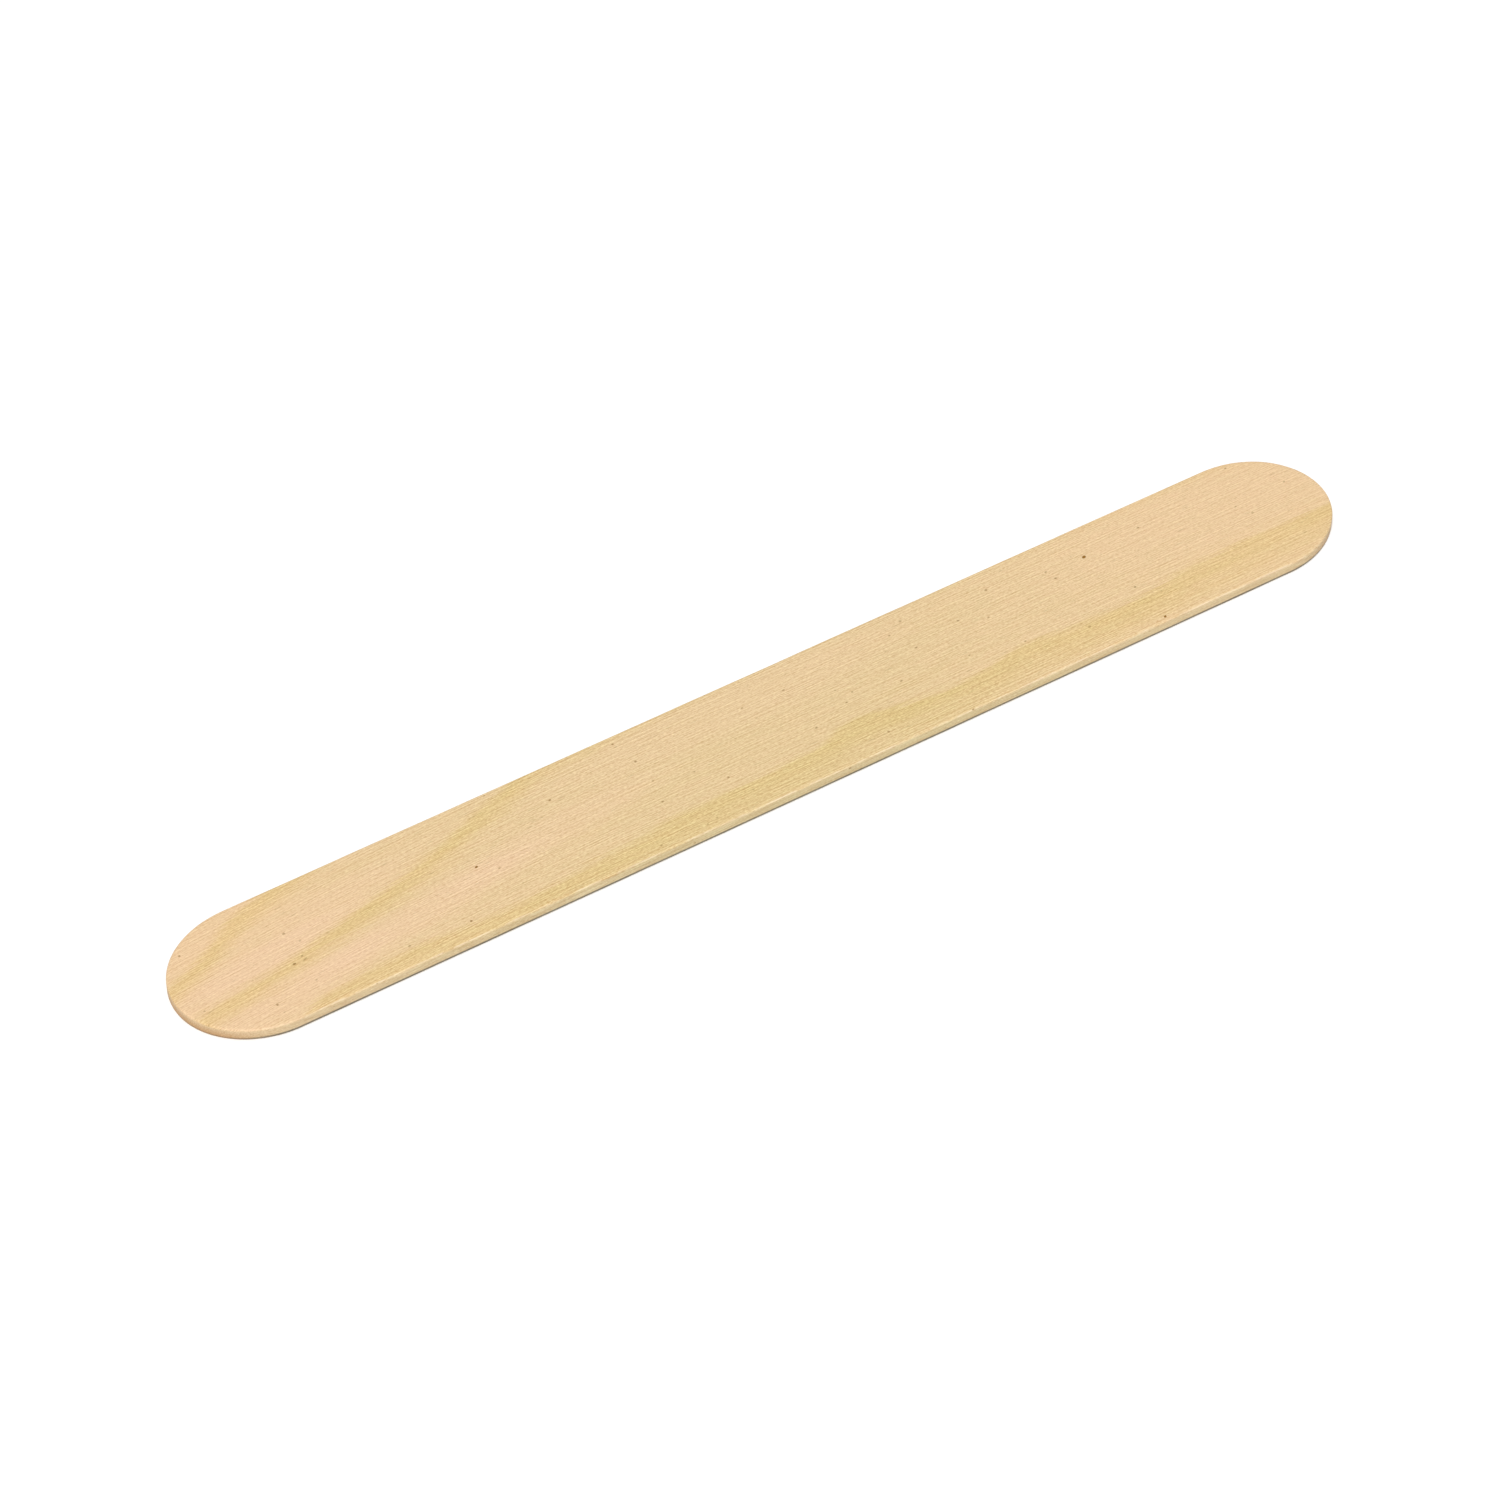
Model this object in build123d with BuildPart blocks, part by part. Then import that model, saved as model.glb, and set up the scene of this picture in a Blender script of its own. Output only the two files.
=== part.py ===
from build123d import *
import os

# A flat wooden tongue depressor, punched whole from one sheet of veneer.
# It lies on its lower face with its length along X, and the origin is under its middle.
# All sizes are in millimetres.

blade_length = 150.0  # tip to tip
blade_width = 18.0  # between the two parallel sides
blade_thickness = 1.6
end_length = 10.5  # from a tip back to where the parallel sides begin
edge_radius = 0.25  # every edge is eased, where the sticks rub together in the drum

half_width = blade_width / 2
side_half_length = blade_length / 2 - end_length
widest_easing = 0.45 * blade_thickness  # leaves a flat band round the rim
eased_radius = min(edge_radius, widest_easing)

half_turn = 180  # each end is half of an ellipse, a little longer than a semicircle

with BuildPart() as blade:
    with BuildSketch():
        with BuildLine():
            near_side = Line((-side_half_length, -half_width), (side_half_length, -half_width))
            right_end = EllipticalCenterArc(
                (side_half_length, 0), end_length, half_width, start_angle=-90, arc_size=half_turn
            )
            far_side = Line(right_end @ 1, (-side_half_length, half_width))
            left_end = EllipticalCenterArc(
                (-side_half_length, 0), end_length, half_width, start_angle=90, arc_size=half_turn
            )
        make_face()
    extrude(amount=blade_thickness)
    broad_faces = blade.faces().filter_by(Axis.Z)
    fillet(broad_faces.edges(), radius=eased_radius)

blade.part.label = "blade"

os.makedirs("parts", exist_ok=True)
export_step(blade.part, "parts/blade.step")
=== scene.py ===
import math

import bpy
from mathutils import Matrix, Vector, noise
from mathutils.geometry import delaunay_2d_cdt


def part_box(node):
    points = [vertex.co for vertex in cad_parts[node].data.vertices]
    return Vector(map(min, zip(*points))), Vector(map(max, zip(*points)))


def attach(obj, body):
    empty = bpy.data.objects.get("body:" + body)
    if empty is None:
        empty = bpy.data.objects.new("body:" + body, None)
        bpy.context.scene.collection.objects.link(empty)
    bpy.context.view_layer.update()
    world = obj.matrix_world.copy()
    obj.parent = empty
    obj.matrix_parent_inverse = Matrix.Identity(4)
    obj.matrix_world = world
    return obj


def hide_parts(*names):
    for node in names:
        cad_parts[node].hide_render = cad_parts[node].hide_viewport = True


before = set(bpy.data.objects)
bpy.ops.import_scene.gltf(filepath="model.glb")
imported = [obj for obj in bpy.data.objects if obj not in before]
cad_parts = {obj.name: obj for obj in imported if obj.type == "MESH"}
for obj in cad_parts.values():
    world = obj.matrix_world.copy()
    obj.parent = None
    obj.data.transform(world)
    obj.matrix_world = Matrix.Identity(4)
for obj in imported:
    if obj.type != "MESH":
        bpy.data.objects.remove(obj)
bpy.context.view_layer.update()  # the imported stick: one node, blade, on the body root
_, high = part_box("blade")
mm = 0.001
halfLength = high.x / mm
halfWidth = high.y / mm
thickness = high.z / mm
print("frame loaded, stick in mm:", [round(v, 2) for v in (2 * halfLength, 2 * halfWidth, thickness)])


def directionTo(azimuth, elevation):  # in degrees, where azimuth 0 is the near side and 90 the right end
    turn = math.radians(azimuth)
    tilt = math.radians(elevation)
    return Vector((math.sin(turn) * math.cos(tilt), -math.cos(turn) * math.cos(tilt), math.sin(tilt)))


# camera, as the photograph was taken: from the left end's near side, looking down

cameraSetup = {
    "azimuth": -32.02,  # degrees, 0 looks along +Y
    "elevation": 46.57,  # degrees above the table
    "distance": 619.3,  # mm from the point it looks at
    "lookAt": (-2.74, 0.255, 0.0),  # mm, on the table under the stick
    "lens": 133.76,  # mm
    "sensor": 36.0,  # mm wide
}


def makeCamera():
    away = directionTo(cameraSetup["azimuth"], cameraSetup["elevation"])
    data = bpy.data.cameras.new("studioCamera")
    data.lens = cameraSetup["lens"]
    data.sensor_width = cameraSetup["sensor"]
    camera = bpy.data.objects.new("studioCamera", data)
    camera.location = (Vector(cameraSetup["lookAt"]) + away * cameraSetup["distance"]) * mm
    camera.rotation_euler = (-away).to_track_quat("-Z", "Y").to_euler()
    bpy.context.scene.collection.objects.link(camera)
    bpy.context.scene.camera = camera


makeCamera()
print("camera placed")


# the stick's own surface, finer than the CAD solid: eased edges that wander a little,
# and furrows along the fibres

stick = {
    "endLength": 10.5,  # mm, from a tip back to where the parallel sides begin
    "easing": 0.25,  # mm, mean radius of the tumbled upper edge
    "easingSeed": 2.5,
    "lowerEasing": 0.36,  # mm, likewise for the lower edge, where the punch drew the wood in
    "lowerEasingSeed": 9.5,
    "easingWander": 0.05,  # mm, how far that radius strays along the edge
    "easingPatch": 3.0,  # mm of edge over which it strays at the ends, about twice that on the sides
    "columnStep": 0.55,  # mm between mesh columns, along the fibres
    "rowStep": 0.14,  # mm between mesh rows, across the fibres
    "endStep": 0.28,  # mm between rim points round an end
    "easingSteps": 4,  # rows of faces round each eased edge
    "wallSteps": 7,  # rows of faces down the side between them
    # relief in the mesh, as mm long, mm wide, mm deep and seed
    "furrow": (7.0, 0.45, 0.0025, 11.3),
    "fibre": (2.4, 0.30, 0.002, 47.9),
    "swell": (30.0, 9.0, 0.012, 83.1),  # faint waves of the whole face
    "endGrain": (0.30, 0.30, 0.016, 5.7),  # cut fibre ends at the tips
}


def rimLoop():  # (point, outward direction) round the widest outline, counter-clockwise
    end = stick["endLength"]
    straight = halfLength - end
    endCount = round(math.pi * (end + halfWidth) / 2 / stick["endStep"])
    sideCount = round(2 * straight / stick["columnStep"])
    loop = []
    for side in (1, -1):
        for i in range(endCount):
            turn = math.pi * (i / endCount - 0.5)
            point = Vector((straight + end * math.cos(turn), halfWidth * math.sin(turn)))
            outward = Vector((math.cos(turn) / end, math.sin(turn) / halfWidth)).normalized()
            loop.append((side * point, side * outward))
        for i in range(sideCount):
            point = Vector((straight - 2 * straight * i / sideCount, halfWidth))
            loop.append((side * point, side * Vector((0, 1))))
    return loop


def insideBy(x, y, inset):  # whether a point of the face lies further than that from the rim
    end = stick["endLength"]
    past = max(abs(x) - (halfLength - end), 0)
    return (past / (end - inset)) ** 2 + (y / (halfWidth - inset)) ** 2 < 1


def layerDepth(place, key):  # mm, in a pattern that is long in the fibres' direction
    length, width, depth, seed = stick[key]
    pattern = noise.noise(Vector((place.x / length + seed, place.y / width, place.z / width)))
    return depth * (0.5 + 0.5 * pattern)


def sunkPoint(place, facing):  # a point of the true surface, let down by the relief there
    relief = layerDepth(place, "furrow") + layerDepth(place, "fibre")
    relief += layerDepth(place, "swell") * abs(facing.z)
    relief += layerDepth(place, "endGrain") * abs(facing.x)
    return place - facing * max(relief, 0.0)


def easingRadii(count, mean, seed):  # one for each point of the rim, read off a noise round a circle
    reach = count * stick["endStep"] / (2 * math.pi) / stick["easingPatch"]
    radii = []
    for i in range(count):
        around = 2 * math.pi * i / count
        stray = noise.noise(Vector((reach * math.cos(around), reach * math.sin(around), seed)))
        radii.append(mean + stick["easingWander"] * stray)
    return radii


def easedRing(loop, radii, turn, side):  # points round the upper (1) or lower (-1) edge, at one slant
    border = thickness if side > 0 else 0.0
    ring = []
    for (point, outward), radius in zip(loop, radii):
        flat = point - outward * radius * (1 - math.sin(turn))
        height = border - side * radius * (1 - math.cos(turn))
        facing = Vector((*(outward * math.sin(turn)), side * math.cos(turn)))
        ring.append(sunkPoint(Vector((*flat, height)), facing))
    return ring


def rimPoints(loop):  # ring after ring, from the upper face's border down to the lower face's
    upperRadii = easingRadii(len(loop), stick["easing"], stick["easingSeed"])
    lowerRadii = easingRadii(len(loop), stick["lowerEasing"], stick["lowerEasingSeed"])
    turns = [math.pi / 2 * k / stick["easingSteps"] for k in range(stick["easingSteps"] + 1)]
    points = []
    for turn in turns:
        points += easedRing(loop, upperRadii, turn, 1)
    for k in range(1, stick["wallSteps"]):
        share = k / stick["wallSteps"]
        for (point, outward), upper, lower in zip(loop, upperRadii, lowerRadii):
            height = (thickness - upper) * (1 - share) + lower * share
            points.append(sunkPoint(Vector((*point, height)), Vector((*outward, 0))))
    for turn in reversed(turns):
        points += easedRing(loop, lowerRadii, turn, -1)
    return points


def faceGrid():  # points of a broad face inside its border, closer across the fibres than along them
    margin = stick["lowerEasing"] + stick["easingWander"] + 0.5 * stick["rowStep"]
    columns = int(halfLength / stick["columnStep"])
    rows = int(halfWidth / stick["rowStep"])
    return [
        Vector((i * stick["columnStep"], j * stick["rowStep"]))
        for i in range(-columns, columns + 1)
        for j in range(-rows, rows + 1)
        if insideBy(i * stick["columnStep"], j * stick["rowStep"], margin)
    ]


# the map that the surface is unrolled on, drawn wider across the fibres than along them

unrolling = {
    "margin": 0.01,  # share of the map left free round each part
    "face": 0.44,  # share of the map's height for each broad face
    "rim": 0.035,  # and for each half of the rim
}


def facePlace(point, side):
    margin = unrolling["margin"]
    start = margin if side > 0 else 2 * margin + unrolling["face"]
    across = point.x / halfLength * 0.5 + 0.5
    up = point.y / halfWidth * 0.5 + 0.5
    return (margin + (1 - 2 * margin) * across, start + unrolling["face"] * up)


def rimPlace(step, index, down, count):  # the index tells which half of the rim the face is in
    margin = unrolling["margin"]
    half = count // 2
    start = 3 * margin + 2 * unrolling["face"]
    if index >= half:
        start += margin + unrolling["rim"]
        step -= half
    return (margin + (1 - 2 * margin) * step / half, start + unrolling["rim"] * (1 - down))


def makeStickMesh():
    loop = rimLoop()
    count = len(loop)
    verts = rimPoints(loop)
    rowCount = len(verts) // count - 1
    faces = []
    places = []  # where each corner of each face lies on the map
    for row in range(rowCount):
        upperStart = row * count
        lowerStart = upperStart + count
        for i in range(count):
            after = (i + 1) % count
            faces.append((upperStart + i, lowerStart + i, lowerStart + after, upperStart + after))
            for step, down in ((0, 0), (0, 1), (1, 1), (1, 0)):
                places.append(rimPlace(i + step, i, (row + down) / rowCount, count))

    grid = faceGrid()
    flatPoints = [Vector(v[:2]) for v in verts[:count]] + grid
    squeeze = stick["rowStep"] / stick["columnStep"]  # makes the grid square, for well-shaped triangles
    squeezed = [Vector((p.x * squeeze, p.y)) for p in flatPoints]
    border = [list(range(count))]
    insideOnly = 1
    tolerance = 1e-7
    _, _, triangles, origins, _, _ = delaunay_2d_cdt(squeezed, [], border, insideOnly, tolerance)
    for height, borderStart, facing in (
        (thickness, 0, Vector((0, 0, 1))),
        (0.0, rowCount * count, Vector((0, 0, -1))),
    ):
        gridStart = len(verts)
        for point in grid:
            verts.append(sunkPoint(Vector((*point, height)), facing))
        for triangle in triangles:
            corners = [origins[corner][0] for corner in triangle]
            if facing.z < 0:
                corners.reverse()
            faces.append([borderStart + c if c < count else gridStart + c - count for c in corners])
            places += [facePlace(flatPoints[c], facing.z) for c in corners]

    mesh = bpy.data.meshes.new("veneerStick")
    mesh.from_pydata([v * mm for v in verts], [], faces)
    unrolled = mesh.uv_layers.new(name="OFBake")
    for corner, place in zip(unrolled.data, places):
        corner.uv = place
    mesh.polygons.foreach_set("use_smooth", [True] * len(mesh.polygons))
    mesh.validate()
    return mesh


stickObject = bpy.data.objects.new("veneerStick", makeStickMesh())
bpy.context.scene.collection.objects.link(stickObject)
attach(stickObject, "root")
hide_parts("blade")
print("stick made:", len(stickObject.data.polygons), "faces")


def linearColour(code):  # sRGB hex to the linear colour that a socket takes
    parts = [int(code[i:i + 2], 16) / 255 for i in (1, 3, 5)]
    return [c / 12.92 if c <= 0.04045 else ((c + 0.055) / 1.055) ** 2.4 for c in parts] + [1.0]


# Inputs go by socket name or number. Each is a value, an output, or a node for its first output in use.
def addNode(tree, kind, inputs={}, **settings):
    node = tree.nodes.new(kind)
    for name, value in settings.items():
        setattr(node, name, value)
    for name, value in inputs.items():
        if isinstance(value, bpy.types.Node):
            value = next(output for output in value.outputs if output.enabled)
        if isinstance(value, bpy.types.NodeSocket):
            tree.links.new(value, node.inputs[name])
        else:
            node.inputs[name].default_value = value
    return node


# Birch veneer, sliced along the grain, punched out and tumbled smooth, with no coat.
# To the eye: pale cream wood, peach towards the tips and pinker in patches, with soft olive latewood
# under the far edge of each growth ring, hair-fine fibres and vessels, a few brown specks, and a dry
# sheen.

veneer = {
    "cream": "#E4C898",  # the middle of the stick
    "peach": "#EDCA9F",  # both ends
    "blush": "#F2CDAA",  # the pinker patches
    "latewood": "#F7F7E0",  # filter over the wood inside a growth ring's dark part
    "cutSide": "#F8FEFF",  # filter over the punched sides, which look greyer
    "endGrain": "#DABFA2",  # filter over the tips, where the fibres are cut across, and painted shade: it is strongest low down by the table
    "nearEdgeHighlight": "#FFEFD6",  # painted highlight: paler colour along the upper near edge, the edge that faces the lamp
    "footShade": "#7E878E",  # painted shade: filter that darkens the foot of the sides, as a contact shadow where the stick meets the table
    "groove": "#D2B28A",  # filter for the grooves between fibres
    "vessel": "#DCD9CE",  # filter inside a vessel
    "speck": "#8C5E00",
    "roughness": (0.56, 0.68),  # on the ridges and in the grooves between fibres
    "rubbedRoughness": 0.45,  # of the straight upper edges, polished by the other sticks in the drum
    "ior": 1.5,
    # layers of streaks: mm long, mm wide, strength, seed
    "tonePatch": (16.0, 3.0, 0.55, 3),
    "blotch": (2.0, 0.9, 0.8, 13),
    "streak": (20.0, 1.1, 0.6, 57),
    "fineStreak": (7.0, 0.30, 0.24, 63),
    "ringWander": (11.0, 1.6, 1.6, 21),
    "ringFeather": (6.0, 0.20, 2.2, 33),
    "fibre": (5.0, 0.13, 1.15, 83),  # real fibres are 0.02 mm wide, drawn coarse enough to show
    "cell": (0.36, 0.075, 2.0, 97),  # short cells that break up the fibres, likewise drawn coarse
    "vessels": (1.8, 0.15, 1.0, 113),  # real ones are 0.1 mm wide, drawn a little wider
    "nearHighlightPatch": (1.6, 3.0, 1.0, 131),
    "streakDetail": 3.0,  # finer and finer noises laid over each layer
    "fibrePitch": 0.14,  # mm from a groove to the ridge beside it
    "fibreSwing": 0.2,  # of the fibre pattern either way, where the roughness is at its ends
    "fibreDepth": 0.006,  # mm of bump
    "grooveShare": (0.95, 1.3),  # how deep the grooves look, from plain wood to full latewood
    "ringDip": 4.3,  # mm that a ring shifts across the stick for each mm down
    "ringCore": 0.5,  # mm from a ring's edge to where its dark part starts to fade
    "sideDulling": 0.85,  # share of the latewood's colour that is gone on the sides
    "footShadeFade": 0.7,  # share of that filter that is gone at the tips
    "nearHighlightShare": (0.0, 0.45),  # how much of the painted highlight shows, from its weaker stretches to the others
    "blushRim": (2.0, 0.5),  # mm that a patch reaches down, and how soft its rim is
    "speckRim": (0.15, 0.25),  # likewise
    "fleckSpacing": 2.2,  # mm across the stick between the places where a small fleck may lie
    "fleckSize": 0.10,  # mm
    "fleckSlimness": 0.6,  # width of a fleck for each mm of its length
    "fleckSoftness": 0.5,  # of its rim, as a share of its size
    "fleckStrength": 0.7,
    "fleckSeed": 7.4,
    # values at places along the stick, as (x in mm, value)
    "peachAlong": [
        (-80, 1.0), (-62, 0.75), (-45, 0.35), (-28, 0.15), (0, 0.0), (30, 0.3), (60, 0.6), (80, 0.75),
    ],
    "fibreShift": [  # mm across, as the fibres lean
        (-80, 3.2), (-60, 1.4), (-45, 0.6), (-30, 0.1), (-20, 0.0), (80, 0.0),
    ],
    "grooveAlong": [  # times the depth of the grooves
        (-80, 0.8), (-57, 0.88), (-42, 1.02), (-25, 1.08), (0, 1.03), (38, 1.05), (54, 0.92), (80, 0.75),
    ],
    # where a part of the surface starts and where it is full: by level, which is 1 on the broad
    # faces and 0 on the sides, by how far it faces a tip or the far side, or by height
    "sideLevel": (0.75, 0.25),
    "footLevel": (0.9, 0.6),
    "endLevel": (0.98, 0.6),
    "easingLevel": 0.7,  # in the middle of an eased edge
    "easingReach": (0.28, 0.10),  # away from that level
    "tipFacing": (0.1, 0.85),
    "straightFacing": (0.3, 0.02),
    "litEdgeFacing": (0.2, -0.2),  # facing the far side, so that only the near edge, on the lamp's side, gets the painted highlight
    "footShadeHeight": (0.56, 0.34),  # mm above the lower face, over which the foot's painted shade fades out
    "endShadeHeight": (1.45, 0.3),  # likewise, for the tips' filter, which grows towards the table as painted shade
    "endGrainLeast": 0.15,  # share of it that still shows above those heights
    # where a pattern starts and where it is full, in its layer of streaks
    "vesselLevel": (-0.17, -0.26),
    "nearHighlightLevel": (-0.12, 0.12),
}

# Each growth ring's far edge on the upper face, as (x, y) in mm, how soft that edge is in mm, how wide
# its dark part is at the left and the right in mm, how dark it is, and how much of that stays beyond it.
growthRings = [
    {
        "edge": [
            (-80, 0.2), (-74.3, 2.4), (-69.3, 4.5), (-66, 6.4), (-62.7, 7.9), (-56, 10), (-40, 13.5),
            (80, 15),
        ],
        "soft": 0.85,
        "dark": (3.6, 3.6),
        "strength": 1.0,
        "rest": 0.0,
    },
    {
        "edge": [
            (-80, -4.6), (-72.7, -3.2), (-61.7, -1.0), (-56, 0.3), (-42.7, 3.9), (-31, 8.0), (-20, 11),
            (80, 13),
        ],
        "soft": 0.85,
        "dark": (3.2, 6.5),
        "strength": 1.0,
        "rest": 0.0,
    },
    {
        "edge": [
            (-80, -14), (-66, -9.7), (-57, -7.1), (-46, -6.85), (-36, -7.0), (-26, -6.5), (-12, -5.3),
            (3, -4.7), (7, -3.3), (9.5, -3.1), (13, -4.0), (24.7, -4.6), (31.5, -3.5), (36.3, -4.1),
            (48, -4.1), (54.3, -3.2), (80, -3.1),
        ],
        "soft": 0.6,
        "dark": (6.0, 5.0),
        "strength": 0.88,
        "rest": 0.35,
    },
]

# Soft pinker patches in the upper face: x, y, half length, half width (mm), lean (degrees), strength.
blushes = [
    (-64, 0.3, 10, 1.8, 8, 0.45),
    (-62, -5.0, 10, 2.2, 8, 0.3),
    (-46, -2.9, 14, 1.9, 8, 0.38),
    (-28, 0.2, 13, 2.2, 5, 0.27),
    (-53, 3.8, 9, 1.7, 9, 0.22),
    (-2, 6.0, 24, 3.2, 0, 0.2),
    (60, 2.6, 17, 4.2, 0, 0.1),
]

# The darkest specks of the upper face, likewise.
specks = [
    (45.0, 4.5, 0.27, 0.19, 20, 1.0),
    (-38.0, -0.1, 0.19, 0.13, 10, 1.0),
    (-61.5, -1.9, 0.20, 0.14, 10, 0.78),
    (-65.8, -6.0, 0.13, 0.14, 0, 0.61),
    (-60.2, -1.9, 0.33, 0.11, 25, 0.37),
    (-49.8, -6.2, 0.18, 0.12, 20, 0.49),
    (-73.4, -4.7, 0.14, 0.12, 0, 0.43),
    (-72.8, -2.7, 0.13, 0.11, 0, 0.37),
    (-59.4, 0.7, 0.15, 0.11, 0, 0.37),
    (-0.9, 4.9, 0.17, 0.11, 20, 0.37),
    (10.9, 0.5, 0.14, 0.11, 0, 0.49),
    (9.4, 1.7, 0.14, 0.11, 0, 0.37),
    (-15.1, 0.7, 0.14, 0.11, 0, 0.37),
    (-6.4, -6.3, 0.14, 0.11, 0, 0.37),
    (-12.0, -7.8, 0.13, 0.11, 0, 0.43),
    (-42.4, -6.6, 0.14, 0.13, 0, 0.79),
    (-26.2, 4.2, 0.17, 0.12, 15, 0.73),
    (47.4, -8.3, 0.20, 0.14, 30, 1.0),
    (32.5, 6.0, 0.17, 0.14, 0, 0.58),
    (-60.4, 2.5, 0.17, 0.13, 0, 0.52),
    (-16.0, 7.8, 0.15, 0.13, 0, 0.67),
    (11.0, -6.8, 0.15, 0.14, 0, 0.61),
    (-15.2, 4.2, 0.13, 0.15, 0, 0.67),
    (-71.4, 5.6, 0.13, 0.13, 0, 0.6),
    (47.2, -2.6, 0.14, 0.13, 0, 0.67),
    (4.5, 4.8, 0.18, 0.13, 0, 0.5),
    (21.5, 7.0, 0.18, 0.14, 0, 0.46),
    (65.6, 0.2, 0.15, 0.13, 0, 0.43),
    (39.2, -5.1, 0.17, 0.13, 0, 0.49),
]


def drawAlong(tree, along, points):  # a value given at places along the stick, joined by a smooth curve
    reach = points[-1][0]
    lowest = min(value for x, value in points)
    highest = max(value for x, value in points)
    share = addNode(tree, "ShaderNodeMapRange", {"Value": along, "From Min": -reach, "From Max": reach})
    drawn = addNode(tree, "ShaderNodeFloatCurve", {"Value": share})
    curve = drawn.mapping.curves[0]
    while len(curve.points) < len(points):
        curve.points.new(0.5, 0.5)
    for spot, (x, value) in zip(curve.points, points):
        spot.location = (0.5 + 0.5 * x / reach, (value - lowest) / (highest - lowest))
    drawn.mapping.update()
    return addNode(tree, "ShaderNodeMapRange", {"Value": drawn, "To Min": lowest, "To Max": highest})


def streakLayer(tree, fibrePlace, key):  # streaks along the fibres, swinging about nought
    length, width, strength, seed = veneer[key]
    inputs = {"Vector": fibrePlace, "Location": (seed, 0, 0), "Scale": (1 / length, 1 / width, 1 / width)}
    squeezed = addNode(tree, "ShaderNodeMapping", inputs)
    inputs = {"Vector": squeezed, "Scale": 1.0, "Detail": veneer["streakDetail"]}
    streaks = addNode(tree, "ShaderNodeTexNoise", inputs)
    inputs = {"Value": streaks, "To Min": -strength / 2, "To Max": strength / 2}
    return addNode(tree, "ShaderNodeMapRange", inputs, clamp=False)


def softSpots(tree, place, spots, rim):  # for each spot, its strength inside it and nought outside
    depth, blur = rim
    shares = []
    for x, y, halfLong, halfWide, lean, strength in spots:
        inputs = {
            "Vector": place,
            "Location": (x, y, thickness),
            "Rotation": (0, 0, math.radians(lean)),
            "Scale": (halfLong, halfWide, depth),
        }
        centred = addNode(tree, "ShaderNodeMapping", inputs, vector_type="TEXTURE")
        reach = addNode(tree, "ShaderNodeVectorMath", {0: centred}, operation="LENGTH")
        inputs = {"Value": reach, "From Min": 1 + blur, "From Max": 1 - blur, "To Max": strength}
        shares.append(addNode(tree, "ShaderNodeMapRange", inputs, interpolation_type="SMOOTHSTEP"))
    return shares


def addUp(tree, values):
    total = values[0]
    for value in values[1:]:
        total = addNode(tree, "ShaderNodeMath", {0: total, 1: value}, operation="ADD")
    return total


def surfaceParts(tree, height):  # shares of side, straight upper edge, near edge with painted highlight, foot with painted shade, and cut end with painted shade low down
    normal = addNode(tree, "ShaderNodeNewGeometry").outputs["Normal"]
    endways, sideways, upwards = addNode(tree, "ShaderNodeSeparateXYZ", {0: normal}).outputs
    level = addNode(tree, "ShaderNodeMath", {0: upwards}, operation="ABSOLUTE")
    tipward = addNode(tree, "ShaderNodeMath", {0: endways}, operation="ABSOLUTE")
    slant = addNode(tree, "ShaderNodeMath", {0: level, 1: veneer["easingLevel"]}, operation="SUBTRACT")
    slant = addNode(tree, "ShaderNodeMath", {0: slant}, operation="ABSOLUTE")
    shares = []
    for measure, key in (
        (level, "sideLevel"),
        (level, "footLevel"),
        (level, "endLevel"),
        (slant, "easingReach"),
        (tipward, "tipFacing"),
        (tipward, "straightFacing"),
        (height, "footShadeHeight"),
    ):
        start, full = veneer[key]
        inputs = {"Value": measure, "From Min": start, "From Max": full}
        shares.append(addNode(tree, "ShaderNodeMapRange", inputs, interpolation_type="SMOOTHSTEP"))
    onSide, steep, cutAcross, onEasing, onTip, onStraight, nearTable = shares

    facingUp = addNode(tree, "ShaderNodeMath", {0: upwards, 1: 0.0}, operation="GREATER_THAN")
    onUpperEdge = addNode(tree, "ShaderNodeMath", {0: onEasing, 1: facingUp}, operation="MULTIPLY")
    onArris = addNode(tree, "ShaderNodeMath", {0: onUpperEdge, 1: onStraight}, operation="MULTIPLY")
    # painted highlight: the straight upper edge on the near side, which faces the lamp
    start, full = veneer["litEdgeFacing"]
    litSide = addNode(tree, "ShaderNodeMapRange", {"Value": sideways, "From Min": start, "From Max": full})
    onLitEdge = addNode(tree, "ShaderNodeMath", {0: onArris, 1: litSide}, operation="MULTIPLY")
    # painted shade: the foot of the sides darkened like a contact shadow on the table, less so at the
    # tips
    inputs = {0: onTip, 1: -veneer["footShadeFade"], 2: 1.0}
    footShadeKept = addNode(tree, "ShaderNodeMath", inputs, operation="MULTIPLY_ADD")
    onShadedFoot = addNode(tree, "ShaderNodeMath", {0: nearTable, 1: steep}, operation="MULTIPLY")
    onShadedFoot = addNode(tree, "ShaderNodeMath", {0: onShadedFoot, 1: footShadeKept}, operation="MULTIPLY")
    # the tips' filter: real end grain, and painted shade that grows towards the table
    start, full = veneer["endShadeHeight"]
    inputs = {"Value": height, "From Min": start, "From Max": full, "To Min": veneer["endGrainLeast"]}
    endShadeRamp = addNode(tree, "ShaderNodeMapRange", inputs)
    onEndGrainAndShade = addNode(tree, "ShaderNodeMath", {0: onTip, 1: endShadeRamp}, operation="MULTIPLY")
    onEndGrainAndShade = addNode(tree, "ShaderNodeMath", {0: onEndGrainAndShade, 1: cutAcross}, operation="MULTIPLY")
    return onSide, onArris, onLitEdge, onShadedFoot, onEndGrainAndShade


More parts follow.
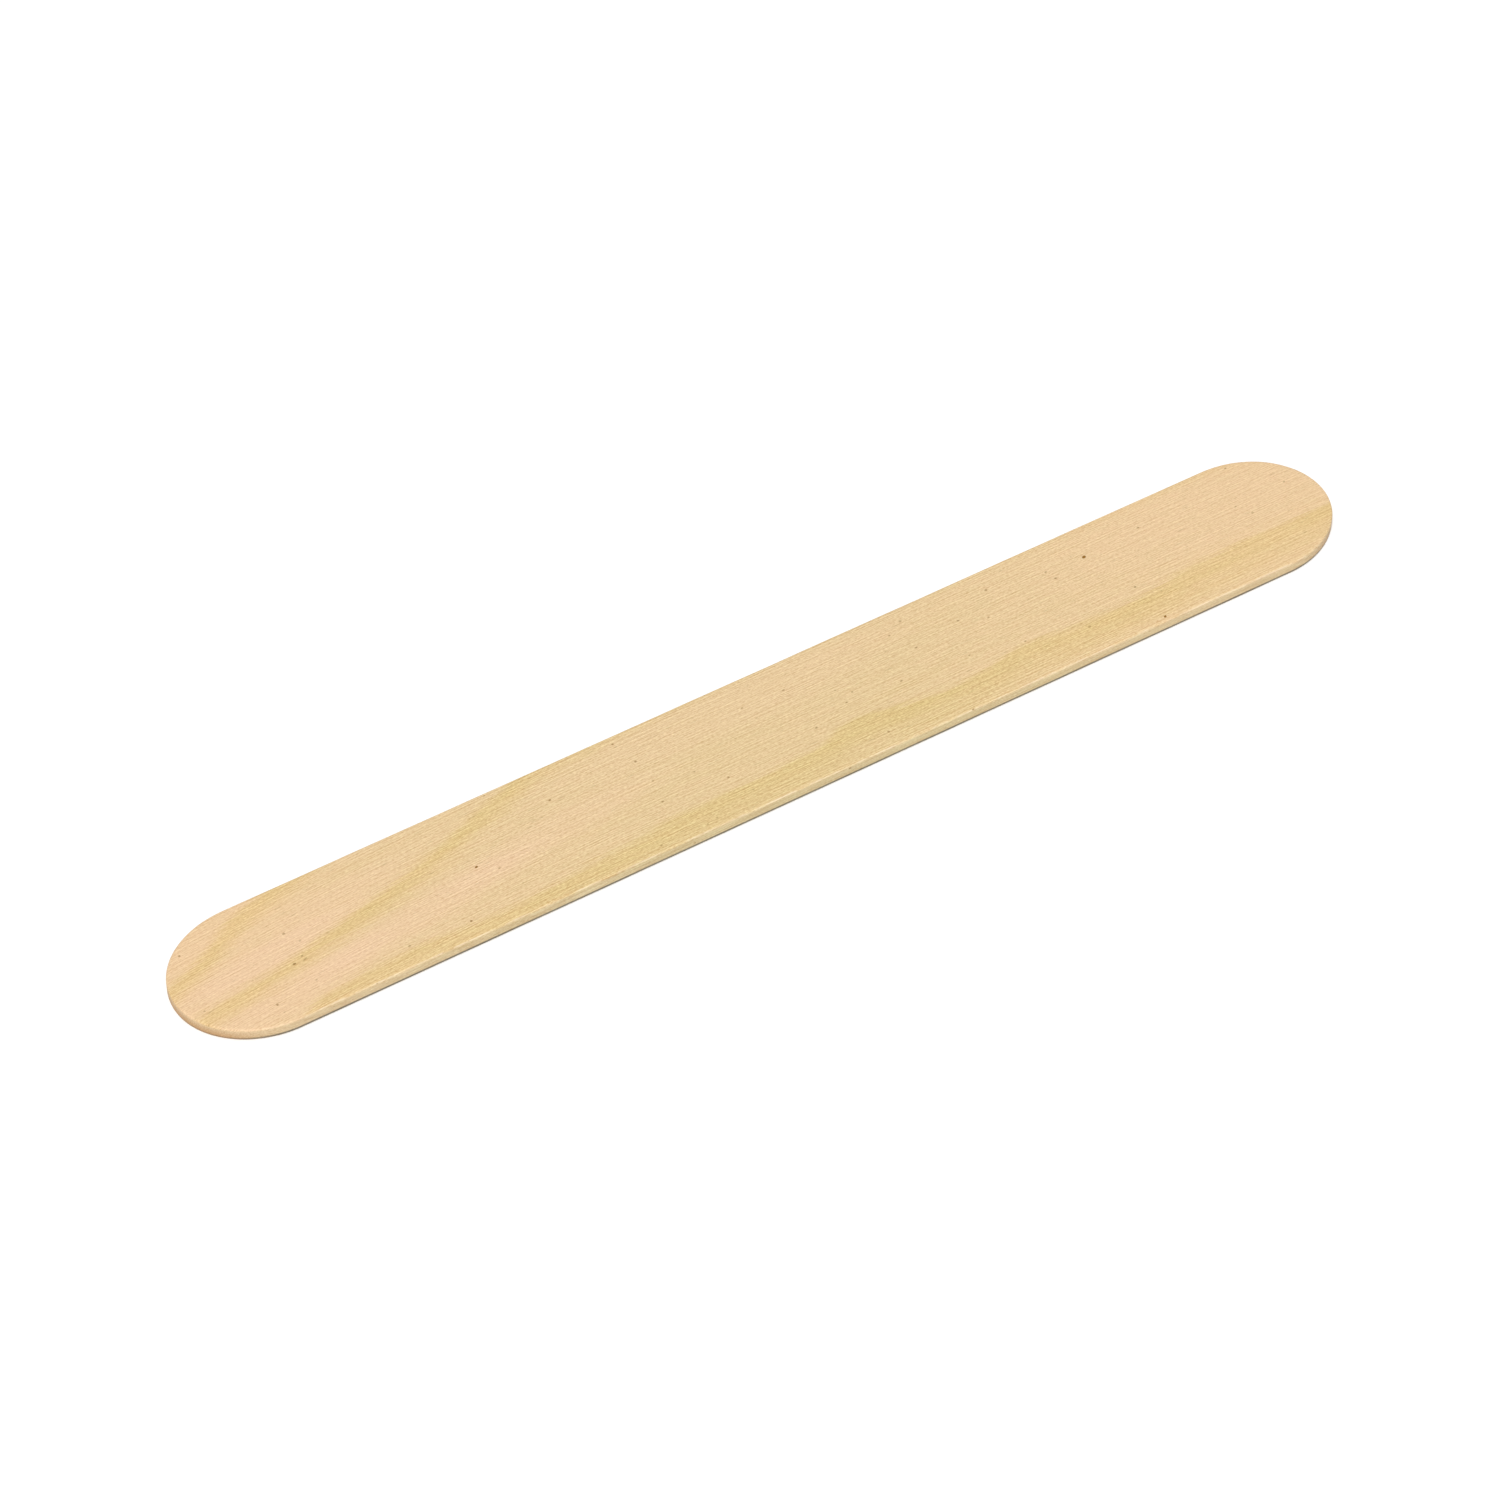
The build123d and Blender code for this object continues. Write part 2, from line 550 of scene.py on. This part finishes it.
def latewoodBands(tree, along, ringAcross):  # how dark the growth rings are, each sharp on its far side
    ringTone = 0.0
    for ring in growthRings:
        inputs = {0: drawAlong(tree, along, ring["edge"]), 1: ringAcross}
        below = addNode(tree, "ShaderNodeMath", inputs, operation="SUBTRACT")
        soft = ring["soft"]
        inputs = {"Value": below, "From Min": -soft, "From Max": soft, "To Max": ring["strength"]}
        rise = addNode(tree, "ShaderNodeMapRange", inputs, interpolation_type="SMOOTHSTEP")
        left, right = ring["dark"]
        inputs = {"Value": along, "From Min": -halfLength, "From Max": halfLength}
        inputs.update({"To Min": left, "To Max": right})
        width = addNode(tree, "ShaderNodeMapRange", inputs)
        inputs = {"Value": below, "From Min": veneer["ringCore"], "From Max": width}
        inputs.update({"To Min": 1.0, "To Max": ring["rest"]})
        fall = addNode(tree, "ShaderNodeMapRange", inputs, interpolation_type="SMOOTHSTEP")
        band = addNode(tree, "ShaderNodeMath", {0: rise, 1: fall}, operation="MULTIPLY")
        ringTone = addNode(tree, "ShaderNodeMath", {0: ringTone, 1: band}, operation="MAXIMUM")
    return ringTone


def makeVeneer():
    material = bpy.data.materials.new("slicedBirchVeneer")
    material.use_nodes = True
    tree = material.node_tree
    tree.nodes.clear()

    # the place in mm, and the same with its width counted from a leaning fibre
    objectPlace = addNode(tree, "ShaderNodeTexCoord").outputs["Object"]
    place = addNode(tree, "ShaderNodeVectorMath", {0: objectPlace, "Scale": 1 / mm}, operation="SCALE")
    along, across, height = addNode(tree, "ShaderNodeSeparateXYZ", {0: place}).outputs
    fibreAcross = addUp(tree, [across, drawAlong(tree, along, veneer["fibreShift"])])
    fibrePlace = addNode(tree, "ShaderNodeCombineXYZ", {0: along, 1: fibreAcross, 2: height})
    onSide, onArris, onLitEdge, onShadedFoot, onEndGrainAndShade = surfaceParts(tree, height)

    # base tone: cream to peach, with pinker patches
    # (a Mix of colours takes its share at socket 0 and the two colours at 6 and 7)
    peachy = [drawAlong(tree, along, veneer["peachAlong"])]
    peachy += [streakLayer(tree, fibrePlace, "tonePatch"), streakLayer(tree, fibrePlace, "blotch")]
    inputs = {0: addUp(tree, peachy), 6: linearColour(veneer["cream"]), 7: linearColour(veneer["peach"])}
    colour = addNode(tree, "ShaderNodeMix", inputs, data_type="RGBA")
    blushing = addUp(tree, softSpots(tree, place, blushes, veneer["blushRim"]))
    inputs = {0: blushing, 6: colour, 7: linearColour(veneer["blush"])}
    colour = addNode(tree, "ShaderNodeMix", inputs, data_type="RGBA")

    # growth rings that shift across the stick with depth, and streaks
    inputs = {0: height, 1: -veneer["ringDip"], 2: thickness * veneer["ringDip"]}
    sunk = addNode(tree, "ShaderNodeMath", inputs, operation="MULTIPLY_ADD")
    uneven = [streakLayer(tree, fibrePlace, "ringWander"), streakLayer(tree, fibrePlace, "ringFeather")]
    ringTone = latewoodBands(tree, along, addUp(tree, [across, sunk] + uneven))
    inputs = {0: onSide, 1: -veneer["sideDulling"], 2: 1.0}
    dulled = addNode(tree, "ShaderNodeMath", inputs, operation="MULTIPLY_ADD")
    ringTone = addNode(tree, "ShaderNodeMath", {0: ringTone, 1: dulled}, operation="MULTIPLY")
    olive = [ringTone]
    olive += [streakLayer(tree, fibrePlace, "streak"), streakLayer(tree, fibrePlace, "fineStreak")]
    inputs = {0: addUp(tree, olive), 6: colour, 7: linearColour(veneer["latewood"])}
    colour = addNode(tree, "ShaderNodeMix", inputs, data_type="RGBA", blend_type="MULTIPLY")

    # fibres and vessels
    inputs = {0: fibrePlace, 1: (0.0, veneer["fibrePitch"], 0.0)}
    beside = addNode(tree, "ShaderNodeVectorMath", inputs, operation="ADD")
    inputs = {0: streakLayer(tree, fibrePlace, "fibre"), 1: streakLayer(tree, beside, "fibre")}
    fibre = addNode(tree, "ShaderNodeMath", inputs, operation="SUBTRACT")
    grooves = addUp(tree, [fibre, streakLayer(tree, fibrePlace, "cell")])
    plain, dense = veneer["grooveShare"]
    share = addNode(tree, "ShaderNodeMapRange", {"Value": ringTone, "To Min": plain, "To Max": dense})
    inputs = {0: share, 1: drawAlong(tree, along, veneer["grooveAlong"])}
    share = addNode(tree, "ShaderNodeMath", inputs, operation="MULTIPLY")
    depth = addNode(tree, "ShaderNodeMath", {0: grooves, 1: share}, operation="MULTIPLY")
    inputs = {0: depth, 6: colour, 7: linearColour(veneer["groove"])}
    settings = {"data_type": "RGBA", "blend_type": "MULTIPLY"}
    settings["clamp_factor"] = False  # so that the ridges come out paler
    colour = addNode(tree, "ShaderNodeMix", inputs, **settings)
    start, full = veneer["vesselLevel"]
    inputs = {"Value": streakLayer(tree, fibrePlace, "vessels"), "From Min": start, "From Max": full}
    vessel = addNode(tree, "ShaderNodeMapRange", inputs, interpolation_type="SMOOTHSTEP")
    inputs = {0: vessel, 6: colour, 7: linearColour(veneer["vessel"])}
    colour = addNode(tree, "ShaderNodeMix", inputs, data_type="RGBA", blend_type="MULTIPLY")

    # sides, tips and edges
    # the tips' filter is end grain with painted shade low down, and the foot's is painted shade
    for where, key in ((onSide, "cutSide"), (onEndGrainAndShade, "endGrain"), (onShadedFoot, "footShade")):
        inputs = {0: where, 6: colour, 7: linearColour(veneer[key])}
        colour = addNode(tree, "ShaderNodeMix", inputs, data_type="RGBA", blend_type="MULTIPLY")
    # painted highlight along the near upper edge, in patches
    start, full = veneer["nearHighlightLevel"]
    worn, whole = veneer["nearHighlightShare"]
    inputs = {"Value": streakLayer(tree, place, "nearHighlightPatch"), "From Min": start, "From Max": full}
    inputs.update({"To Min": worn, "To Max": whole})
    patchy = addNode(tree, "ShaderNodeMapRange", inputs)
    pale = addNode(tree, "ShaderNodeMath", {0: onLitEdge, 1: patchy}, operation="MULTIPLY")
    inputs = {0: pale, 6: colour, 7: linearColour(veneer["nearEdgeHighlight"])}
    colour = addNode(tree, "ShaderNodeMix", inputs, data_type="RGBA")

    # specks, a few listed one by one and the faint ones scattered
    spacing = veneer["fleckSpacing"]
    inputs = {
        "Vector": fibrePlace,
        "Location": (0, veneer["fleckSeed"], 0),
        "Scale": (veneer["fleckSlimness"] / spacing, 1 / spacing, 1 / spacing),
    }
    scattered = addNode(tree, "ShaderNodeMapping", inputs)
    flecks = addNode(tree, "ShaderNodeTexVoronoi", {"Vector": scattered, "Scale": 1.0})
    size = veneer["fleckSize"] / spacing
    blur = veneer["fleckSoftness"] * size
    strength = veneer["fleckStrength"]
    inputs = {"Value": flecks, "From Min": size + blur, "From Max": size - blur, "To Max": strength}
    flecks = addNode(tree, "ShaderNodeMapRange", inputs, interpolation_type="SMOOTHSTEP")
    spotted = addUp(tree, [flecks] + softSpots(tree, place, specks, veneer["speckRim"]))
    inputs = {0: spotted, 6: colour, 7: linearColour(veneer["speck"])}
    colour = addNode(tree, "ShaderNodeMix", inputs, data_type="RGBA")

    # finish
    smooth, rough = veneer["roughness"]
    swing = veneer["fibreSwing"]
    inputs = {"Value": fibre, "From Min": -swing, "From Max": swing, "To Min": smooth, "To Max": rough}
    roughness = addNode(tree, "ShaderNodeMapRange", inputs)
    inputs = {"Factor": onArris, "A": roughness, "B": veneer["rubbedRoughness"]}
    roughness = addNode(tree, "ShaderNodeMix", inputs)
    sunken = addNode(tree, "ShaderNodeMath", {0: fibre, 1: vessel}, operation="ADD")
    inputs = {"Height": sunken, "Strength": 1.0, "Distance": veneer["fibreDepth"] * mm}
    bump = addNode(tree, "ShaderNodeBump", inputs, invert=True)
    inputs = {"Base Color": colour, "Roughness": roughness, "IOR": veneer["ior"], "Normal": bump}
    wood = addNode(tree, "ShaderNodeBsdfPrincipled", inputs)
    addNode(tree, "ShaderNodeOutputMaterial", {"Surface": wood})
    return material


stickObject.data.materials.append(makeVeneer())
print("veneer made")


# studio: white table, even light from all round, and one broad soft lamp in front

studio = {
    "sky": 0.32,  # how bright the light from all round is, where 1 turns white paper white
    "lamp": 0.77,  # light that the lamp adds on a sheet held square to it, likewise
    "lampAzimuth": -40.0,  # degrees, the side that the lamp stands on, 0 is the near side
    "lampHeight": 62.0,  # degrees above the table
    "lampWidth": 18.0,  # degrees across, as seen from the table
    "table": "#EDEDED",  # how the stick sees the table
    "tableSeen": "#FFFFFF",  # how the camera sees it
    "tableGlow": 0.08,  # added for the camera, so that the open table reads as pure white
    "tableHalf": 2500.0,  # mm
}


def seenDirectly(tree):  # 1 for the camera and for reflections, 0 for the light that lands on the stick
    path = addNode(tree, "ShaderNodeLightPath").outputs
    inputs = {0: path["Is Camera Ray"], 1: path["Is Glossy Ray"]}
    seen = addNode(tree, "ShaderNodeMath", inputs, operation="MAXIMUM")
    inputs = {0: seen, 1: path["Is Transmission Ray"]}
    return addNode(tree, "ShaderNodeMath", inputs, operation="MAXIMUM")


def makeTable():
    reach = studio["tableHalf"] * mm
    corners = [(-reach, -reach, 0), (reach, -reach, 0), (reach, reach, 0), (-reach, reach, 0)]
    mesh = bpy.data.meshes.new("studioTable")
    mesh.from_pydata(corners, [], [(0, 1, 2, 3)])
    table = bpy.data.objects.new("studioTable", mesh)
    bpy.context.scene.collection.objects.link(table)
    material = bpy.data.materials.new("mattWhitePaper")
    material.use_nodes = True
    tree = material.node_tree
    tree.nodes.clear()
    seen = seenDirectly(tree)
    inputs = {0: seen, 6: linearColour(studio["table"]), 7: linearColour(studio["tableSeen"])}
    white = addNode(tree, "ShaderNodeMix", inputs, data_type="RGBA")
    paper = addNode(tree, "ShaderNodeBsdfDiffuse", {"Color": white})
    glow = addNode(tree, "ShaderNodeMath", {0: seen, 1: studio["tableGlow"]}, operation="MULTIPLY")
    light = addNode(tree, "ShaderNodeEmission", {"Strength": glow})
    both = addNode(tree, "ShaderNodeAddShader", {0: paper, 1: light})
    addNode(tree, "ShaderNodeOutputMaterial", {"Surface": both})
    mesh.materials.append(material)


def makeLights():
    world = bpy.data.worlds.new("studioSky")
    bpy.context.scene.world = world
    world.use_nodes = True
    tree = world.node_tree
    tree.nodes.clear()
    inputs = {"Value": seenDirectly(tree), "To Min": studio["sky"], "To Max": 1.0}
    strength = addNode(tree, "ShaderNodeMapRange", inputs)
    sky = addNode(tree, "ShaderNodeBackground", {"Color": (1, 1, 1, 1), "Strength": strength})
    addNode(tree, "ShaderNodeOutputWorld", {"Surface": sky})

    towards = directionTo(studio["lampAzimuth"], studio["lampHeight"])
    data = bpy.data.lights.new("softLamp", "SUN")
    data.energy = studio["lamp"] * math.pi  # a sun lamp of pi turns white paper white
    data.angle = math.radians(studio["lampWidth"])
    lamp = bpy.data.objects.new("softLamp", data)
    lamp.location = towards
    lamp.rotation_euler = (-towards).to_track_quat("-Z", "Y").to_euler()
    bpy.context.scene.collection.objects.link(lamp)


makeTable()
makeLights()
bpy.context.scene.view_settings.view_transform = "Standard"
print("studio lit")
